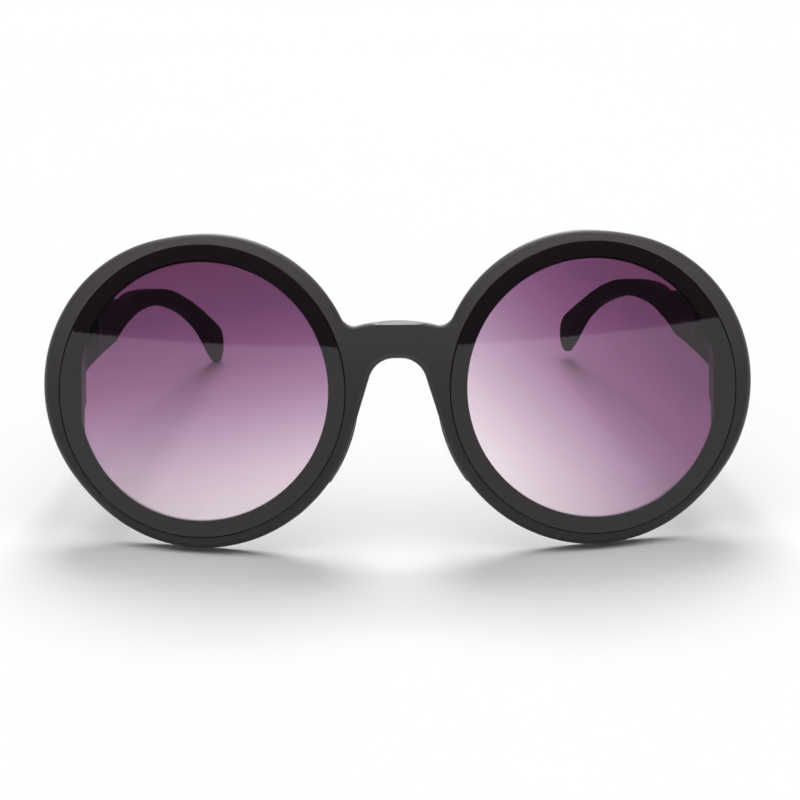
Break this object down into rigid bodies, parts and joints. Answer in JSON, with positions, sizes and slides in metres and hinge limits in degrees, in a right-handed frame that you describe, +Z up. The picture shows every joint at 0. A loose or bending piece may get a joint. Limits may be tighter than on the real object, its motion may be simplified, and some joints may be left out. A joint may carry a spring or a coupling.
{
  "type": "sunglasses",
  "caption": "Oversized round sunglasses with a matte one-piece front, flush tinted lens discs and folding temples, standing open.",
  "frame": {"origin": "on the ground, at the middle of the bounding box's base, under the open sunglasses as they stand on both rims and the right temple tip", "axes": "+Z up; -Y is the side the front faces, so the temples run toward +Y; +X is the wearer's left"},
  "size_m": [0.1518, 0.149, 0.0651],
  "materials": {
    "front_matte": "soft-touch matte charcoal",
    "temple_matte": "soft-touch matte charcoal",
    "nose_pad": "soft-touch matte charcoal",
    "lens_tint": "gloss, violet tint that fades toward the bottom",
    "lens_bond": "black adhesive",
    "core_wire": "plain wire",
    "hinge_dark": "black plating",
    "screw_dark": "black plating"
  },
  "bodies": {
    "front": {"front_frame": "front_matte", "lens_left": "lens_tint", "lens_right": "lens_tint", "lens_bond_left": "lens_bond", "lens_bond_right": "lens_bond", "nose_pad_left": "nose_pad", "nose_pad_right": "nose_pad", "front_leaf_left": "hinge_dark", "front_leaf_right": "hinge_dark", "hinge_screw_left": "screw_dark", "hinge_screw_right": "screw_dark", "front_leaf_screws_left": "screw_dark", "front_leaf_screws_right": "screw_dark"},
    "temple_left": {"temple_left": "temple_matte", "core_wire_left": "core_wire", "temple_leaf_left": "hinge_dark", "temple_leaf_screws_left": "screw_dark"},
    "temple_right": {"temple_right": "temple_matte", "core_wire_right": "core_wire", "temple_leaf_right": "hinge_dark", "temple_leaf_screws_right": "screw_dark"}
  },
  "joints": [
    {"name": "left_hinge", "type": "hinge", "parent": "front", "child": "temple_left", "pos_m": [0.06555, -0.04348, 0.0402], "axis": [0, 0.2689, 0.9632], "range_deg": [-1.35, 76]},
    {"name": "right_hinge", "type": "hinge", "parent": "front", "child": "temple_right", "pos_m": [-0.06555, -0.04348, 0.0402], "axis": [0, -0.2689, -0.9632], "range_deg": [0, 85]}
  ]
}
